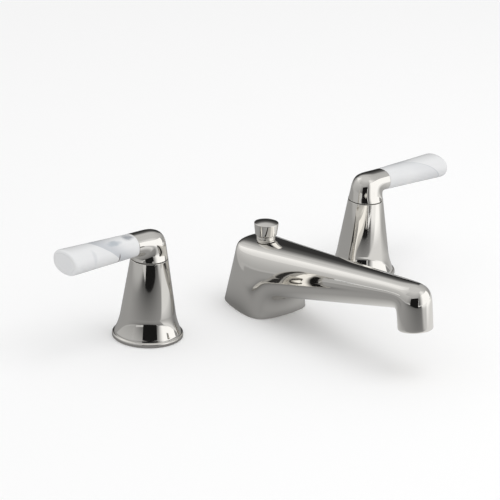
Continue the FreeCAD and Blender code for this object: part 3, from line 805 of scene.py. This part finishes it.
side_outline = [(knob_base, groove_top, 0.1), (knob_rim, knob_top - 0.5, 0.5)]
knob_outline = rounded(
    socket_outline + collar_outline + groove_outline + side_outline + dome + [(0, knob_top + dome_rise, 0)])
knob = lathe("knob", knob_outline, polished_nickel, 0.0, rod_y, 128)
stand_for(knob, "lift_knob", "lift")
dress(turned_brass, "lift_rod")


# Studio: a plain pale floor at the level of the deck, soft light from all round,
# and glowing cards and dark flags stood about the object, out of the picture: painted
# reflections for the polished metal to mirror, which light nothing and cast no shadow.
floor_mesh = bpy.data.meshes.new("floor")
floor_mesh.from_pydata([(-9, -9, 0), (9, -9, 0), (9, 9, 0), (-9, 9, 0)], [], [(0, 1, 2, 3)])
floor = bpy.data.objects.new("floor", floor_mesh)
bpy.context.scene.collection.objects.link(floor)
pale = bpy.data.materials.new("pale_floor")
pale.use_nodes = True
tree = pale.node_tree
shader = tree.nodes["Principled BSDF"]
shader.inputs["Roughness"].default_value = 0.9
shader.inputs["Specular IOR Level"].default_value = 0.0
ray = tree.nodes.new("ShaderNodeLightPath")
colour = tree.nodes.new("ShaderNodeMix")
colour.data_type = "RGBA"
colour.inputs["A"].default_value = (0.95, 0.95, 0.95, 1)
colour.inputs["B"].default_value = (0.85, 0.85, 0.85, 1)
tree.links.new(ray.outputs["Is Diffuse Ray"], colour.inputs["Factor"])
tree.links.new(colour.outputs["Result"], shader.inputs["Base Color"])
floor_mesh.materials.append(pale)

# directions on the floor: towards the viewer and to the viewer's right
view_azimuth = math.radians(-41.83)
near_way = np.array((math.sin(view_azimuth), -math.cos(view_azimuth)))
right_way = np.array((math.cos(view_azimuth), math.sin(view_azimuth)))


# the cards' glow: emission that paints reflections, not a lamp
glow = bpy.data.materials.new("card_glow")
glow.use_nodes = True
tree = glow.node_tree
tree.nodes.remove(tree.nodes["Principled BSDF"])
light = tree.nodes.new("ShaderNodeEmission")
shade = tree.nodes.new("ShaderNodeAttribute")
shade.attribute_name = "brightness"
tree.links.new(shade.outputs["Fac"], light.inputs["Strength"])
tree.links.new(light.outputs["Emission"], tree.nodes["Material Output"].inputs["Surface"])


def card(name, grid, brightness):
    """A glowing card with its own brightness at each point, seen in reflections only: a painted reflection that lights
    nothing.
    """
    rows, across = brightness.shape
    faces = [
        (i * across + k, i * across + k + 1, (i + 1) * across + k + 1, (i + 1) * across + k)
        for i in range(rows - 1) for k in range(across - 1)
    ]
    mesh = bpy.data.meshes.new(name)
    mesh.from_pydata(grid.reshape(-1, 3).tolist(), [], faces)
    mesh.attributes.new("brightness", "FLOAT", "POINT").data.foreach_set("value", brightness.ravel())
    mesh.materials.append(glow)
    piece = bpy.data.objects.new(name, mesh)
    bpy.context.scene.collection.objects.link(piece)
    piece.visible_camera = False
    piece.visible_diffuse = False
    piece.visible_shadow = False


def panel(name, bearings, lifts, tones, reach=0.9, steps=13):
    """An upright curved glowing card, a painted reflection, between two bearings off the viewer's direction and two
    lifts above the deck. Its tones are low first, low last, high first and high last."""
    turns = np.radians(np.linspace(*bearings, steps))
    heights = reach * np.tan(np.radians(np.linspace(*lifts, steps))) + 0.03
    grid = np.zeros((steps, steps, 3))
    tone = np.zeros((steps, steps))
    for i in range(steps):
        for k in range(steps):
            flat = (near_way * math.cos(turns[k]) + right_way * math.sin(turns[k])) * reach
            grid[i, k] = (*flat, heights[i])
            up, over = i / (steps - 1), k / (steps - 1)
            low = tones[0] + (tones[1] - tones[0]) * over
            high = tones[2] + (tones[3] - tones[2]) * over
            tone[i, k] = low + (high - low) * up
    card(name, grid, tone)


def between(value, start, end):
    """Nothing up to start, then a straight rise to one at end."""
    return np.clip((value - start) / (end - start), 0, 1)


# the table: a glowing card on the floor, seen only in reflections: mid grey in front, paler at the far
# left, a painted glow of the softbox at the right behind a slanting edge, and painted contact shadows round the three
# feet
near_steps = np.concatenate((np.linspace(-0.9, -0.21, 18), np.linspace(-0.2, 0.2, 101), np.linspace(0.21, 0.62, 22)))
right_steps = np.concatenate((np.linspace(-0.95, -0.21, 20), np.linspace(-0.2, 0.2, 101), np.linspace(0.21, 0.95, 38)))
nearer, righter = np.meshgrid(near_steps, right_steps, indexing="ij")
flat = nearer[..., None] * near_way + righter[..., None] * right_way
far_left_tone, middle_tone, front_tone = 0.45, 0.325, 0.085
# painted glow of the right softbox on the table card, weaker behind and in front, stronger in the far corner
painted_glow_tone, behind_loss, front_loss, corner_gain = 0.72, 0.32, 0.16, 0.36
table = middle_tone + (front_tone - middle_tone) * between(nearer, 0.09, 0.54)
table += (far_left_tone - table) * between(-righter, 0.32, 0.42)
edge = 0.02 + 0.198 * between(nearer, 0.155, 0.21) + 0.75 * np.clip(nearer - 0.21, 0, 1)
in_front = between(nearer, 0.16, 0.21)
painted_glow = painted_glow_tone - behind_loss * between(-nearer, 0.05, 0.12) - front_loss * in_front
table += (painted_glow - table) * between(righter - edge, -0.02, 0.07)
table += corner_gain * between(righter - 0.08 * in_front, 0.3, 0.44) * between(righter - edge, 0, 0.05)
# painted contact shadows: the card darkens round each of the three feet
bell_foot_shadow, spout_foot_shadow = (0.0245, 0.4, 0.012), (0.0285, 0.45, 0.015)
feet = (((-0.1016, 0), bell_foot_shadow), ((0.1016, 0), bell_foot_shadow), ((0, -0.004), spout_foot_shadow))
for centre, (foot_size, depth, shadow_spread) in feet:
    gap = np.linalg.norm(flat - centre, axis=2) - foot_size
    table *= 1 - depth * np.exp(-np.clip(gap, 0, 1) / shadow_spread)
card("table", np.concatenate((flat, np.full(nearer.shape + (1,), 0.0004)), axis=2), table)


def low_board(name, ends, height, tone):
    """A flat upright glowing board on the table between two places (nearer, righter), a painted reflection."""
    line = [near_way * nearer + right_way * righter for nearer, righter in ends]
    card(name, np.array([[(*place, z) for place in line] for z in (0.0, height)]), np.full((2, 2), tone))


# a low black board in front with a lower pale one beside it, and the room above and
# around them on glowing upright panels: all of them painted reflections
low_board("black_board", ((0.56, -0.205), (0.50, 0.25)), 0.225, 0.01)
low_board("low_white_board", ((0.62, -0.6), (0.62, -0.205)), 0.035, 0.56)
panel("room_low", (-18, 26), (10, 36), (0.3, 0.24, 0.54, 0.5))
panel("left_low", (-52, -18), (-2, 30), (0.38, 0.11, 0.56, 0.45))
panel("right_shade", (26, 35), (-2, 33), (0.04, 0.2, 0.42, 0.4))
panel("right_rise", (35, 52), (-2, 33), (0.2, 1.06, 0.4, 1.08))
panel("far_left_low", (-120, -52), (-2, 30), (0.48, 0.36, 0.64, 0.54))
# a bright glowing card: the painted reflection of a softbox, not a lamp
panel("right_softbox_reflection", (52, 108), (-2, 33), (1.05, 1.1, 1.1, 1.1), 0.8)
panel("far_right_low", (108, 160), (-2, 33), (0.25, 0.3, 0.47, 0.44))
panel("back_board", (160, 212), (-4, 20), (0.034, 0.034, 0.034, 0.034))
panel("back_fade", (160, 212), (20, 31), (0.035, 0.035, 0.14, 0.1))
panel("back_upper", (160, 212), (31, 40), (0.14, 0.1, 0.44, 0.5))
panel("back_left_low", (212, 240), (-2, 30), (0.2, 0.45, 0.24, 0.55))
panel("front_high", (-70, 44), (30, 62), (0.45, 0.42, 0.6, 0.6))
panel("right_glow_rise", (44, 66), (33, 62), (0.7, 0.95, 0.66, 0.85))
panel("right_glow_fall", (66, 96), (33, 62), (0.95, 0.55, 0.85, 0.6))
panel("far_right_high", (96, 160), (33, 62), (0.52, 0.4, 0.57, 0.57))
panel("back_high", (160, 212), (40, 62), (0.5, 0.58, 0.58, 0.64))
panel("back_left_edge", (212, 232), (30, 62), (0.42, 0.8, 0.72, 0.78))
# bright glowing cards at the back left: the painted reflection of a window
panel("window_reflection_low", (232, 262), (30, 42), (0.6, 0.75, 0.98, 0.88))
panel("window_reflection_high", (232, 262), (42, 62), (1.0, 0.9, 0.8, 0.7))
panel("far_left_high", (262, 290), (30, 62), (0.74, 0.56, 0.68, 0.62))
# a glowing card overhead: the painted reflection of the ceiling
cover = np.array([[(x, y, 1.72) for x in (-1.0, 1.0)] for y in (-1.0, 1.0)])
card("cover", cover, np.full((2, 2), 0.62))

# even white light from all round, and one soft lamp that draws the floor's shadow
world = bpy.data.worlds.new("studio")
bpy.context.scene.world = world
world.use_nodes = True
world.node_tree.nodes["Background"].inputs["Color"].default_value = (1, 1, 1, 1)
world.node_tree.nodes["Background"].inputs["Strength"].default_value = 0.87


def softbox(name, bearing, lift, reach, size, power):
    """A square soft lamp that points at the middle of the object."""
    t, e = math.radians(bearing), math.radians(lift)
    flat = near_way * math.cos(t) + right_way * math.sin(t)
    where = Vector((*(flat * math.cos(e)), math.sin(e))) * reach
    lamp = bpy.data.lights.new(name, "AREA")
    lamp.size = size
    lamp.energy = power
    piece = bpy.data.objects.new(name, lamp)
    piece.location = where
    piece.rotation_euler = (-where).to_track_quat("-Z", "Y").to_euler()
    bpy.context.scene.collection.objects.link(piece)
    return piece


softbox("top_light", 70, 66, 1.6, 1.2, 5.5).visible_glossy = False


# Camera: a long lens from the front left, a little above the spout, set by the
# outlines of both bells and their flanges.
azimuth, elevation, roll = (math.radians(a) for a in (-41.83, 21.0, 2.23))
distance, shift_right, shift_up = 1.6448, 0.0076, -0.03649
right = Vector((math.cos(azimuth), math.sin(azimuth), 0))
view = Vector((-math.sin(azimuth) * math.cos(elevation), math.cos(azimuth) * math.cos(elevation), -math.sin(elevation)))
up = right.cross(view)
eye = -view * distance - right * shift_right - up * shift_up
camera_data = bpy.data.cameras.new("camera")
camera_data.sensor_width = 36
camera_data.lens = 165.6
camera = bpy.data.objects.new("camera", camera_data)
bpy.context.scene.collection.objects.link(camera)
turned_right = right * math.cos(roll) + up * math.sin(roll)
turned_up = up * math.cos(roll) - right * math.sin(roll)
camera.matrix_world = Matrix.Translation(eye) @ Matrix((turned_right, turned_up, -view)).transposed().to_4x4()
bpy.context.scene.camera = camera
bpy.context.scene.view_settings.view_transform = "Standard"
